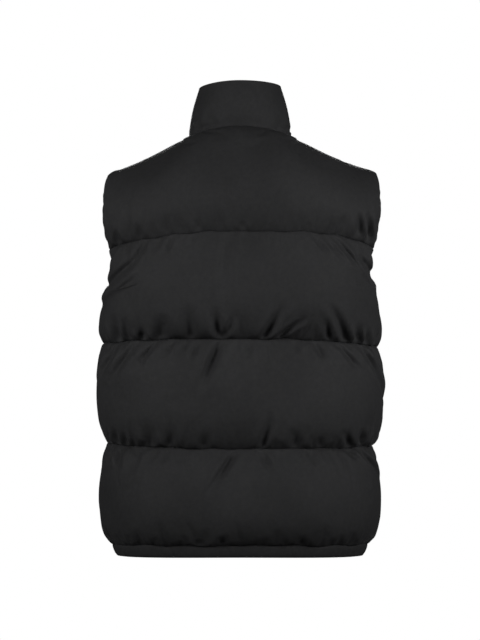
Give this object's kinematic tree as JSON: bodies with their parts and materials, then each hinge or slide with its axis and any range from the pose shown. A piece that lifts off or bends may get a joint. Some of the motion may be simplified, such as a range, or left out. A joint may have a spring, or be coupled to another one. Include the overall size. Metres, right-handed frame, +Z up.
{
  "type": "puffer vest",
  "caption": "Worn-shape padded sleeveless vest with wide quilted baffles, a high stand collar and a front zip, hollow and open at neck, armholes and hem.",
  "frame": {"origin": "midway between the high points of the two shoulders, where the wearer's shoulders carry the vest", "axes": "+Z up along the wearer's height, +X to the wearer's left, +Y to the wearer's back, so the zip faces -Y"},
  "size_m": [0.4423, 0.2896, 0.7263],
  "materials": {
    "shell": "black plain-woven shell cloth over padding, soft satin sheen",
    "zip_tape": "black woven zip tape, matte",
    "zip_teeth": "black moulded teeth, satin",
    "zip_metal": "black coated metal, satin"
  },
  "bodies": {
    "garment": {"back_yoke": "shell", "back_chest": "shell", "back_waist": "shell", "back_hip": "shell", "front_left_yoke": "shell", "front_left_chest": "shell", "front_left_waist": "shell", "front_left_hip": "shell", "front_right_yoke": "shell", "front_right_chest": "shell", "front_right_waist": "shell", "front_right_hip": "shell", "hem_band_back": "shell", "hem_band_front_left": "shell", "hem_band_front_right": "shell", "collar": "shell", "zip_tape_left": "zip_tape", "zip_tape_right": "zip_tape", "zip_chain": "zip_teeth", "zip_bottom_stop": "zip_metal", "zip_top_stop_left": "zip_metal", "zip_top_stop_right": "zip_metal", "slider": "zip_metal"},
    "pull_tab": {"pull_tab": "zip_metal"}
  },
  "joints": [
    {"name": "pull_tab_swing", "type": "hinge", "parent": "garment", "child": "pull_tab", "pos_m": [0, -0.07226, 0.03753], "axis": [-1, 0, 0], "range_deg": [0, 165]}
  ]
}
